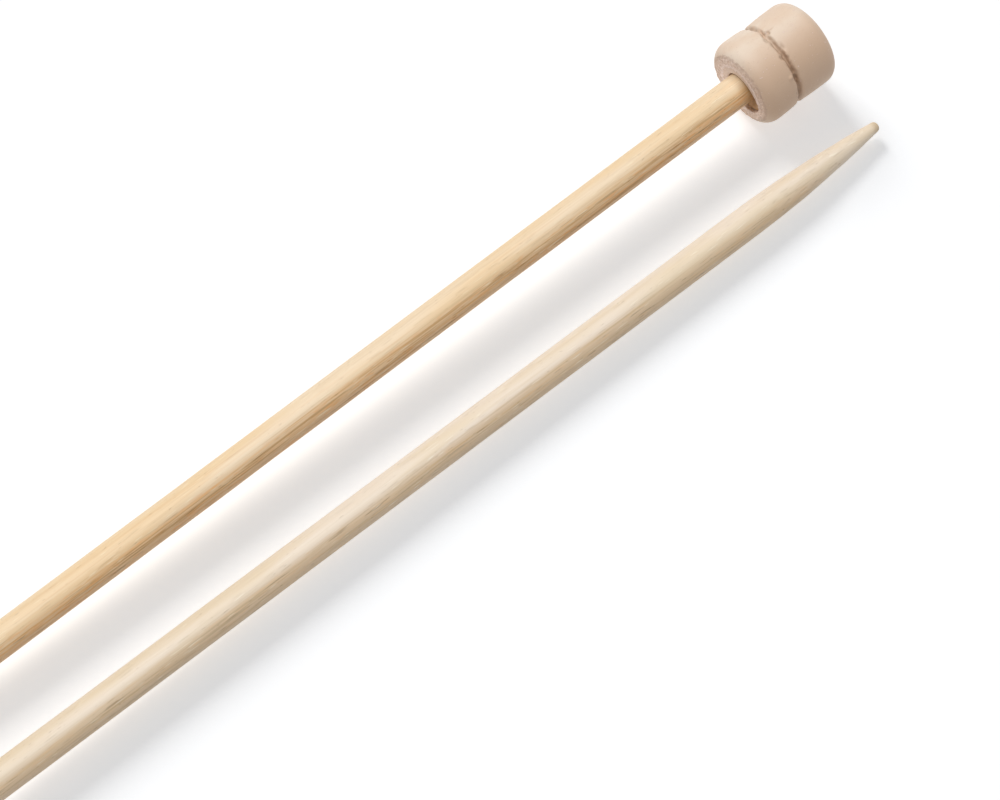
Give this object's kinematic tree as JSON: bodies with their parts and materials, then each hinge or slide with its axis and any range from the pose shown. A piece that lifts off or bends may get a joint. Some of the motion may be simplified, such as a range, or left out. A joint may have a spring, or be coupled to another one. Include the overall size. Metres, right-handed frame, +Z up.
{
  "type": "straight knitting needles",
  "caption": "Straight single-pointed bamboo knitting needles with grooved, turned wooden knobs, laid side by side with their points opposite ways.",
  "frame": {"origin": "on the surface that the needles lie on, under the middle of the pair", "axes": "+X along the needles towards the first needle's knob, +Y across from the second needle to the first, +Z up"},
  "size_m": [0.33, 0.0272, 0.0128],
  "materials": {
    "bamboo_warm": "honey-yellow bamboo, sanded smooth and waxed, with fine lengthwise fibres",
    "bamboo_pale": "pale cream bamboo, sanded smooth and waxed, with fine lengthwise fibres",
    "knob_wood": "pinkish-tan close-grained wood, turned and sanded, with torn grain at the mouth",
    "dried_glue": "amber-brown dried glue, glossy"
  },
  "bodies": {
    "needle_a": {"needle_a_shaft": "bamboo_warm", "needle_a_knob": "knob_wood", "needle_a_glue": "dried_glue"},
    "needle_b": {"needle_b_shaft": "bamboo_pale", "needle_b_knob": "knob_wood", "needle_b_glue": "dried_glue"}
  },
  "joints": [
    {"name": "needle_b_slide", "type": "slide", "parent": "needle_a", "child": "needle_b", "axis": [1, 0, 0], "range_m": [-0.335, 0.335]}
  ]
}
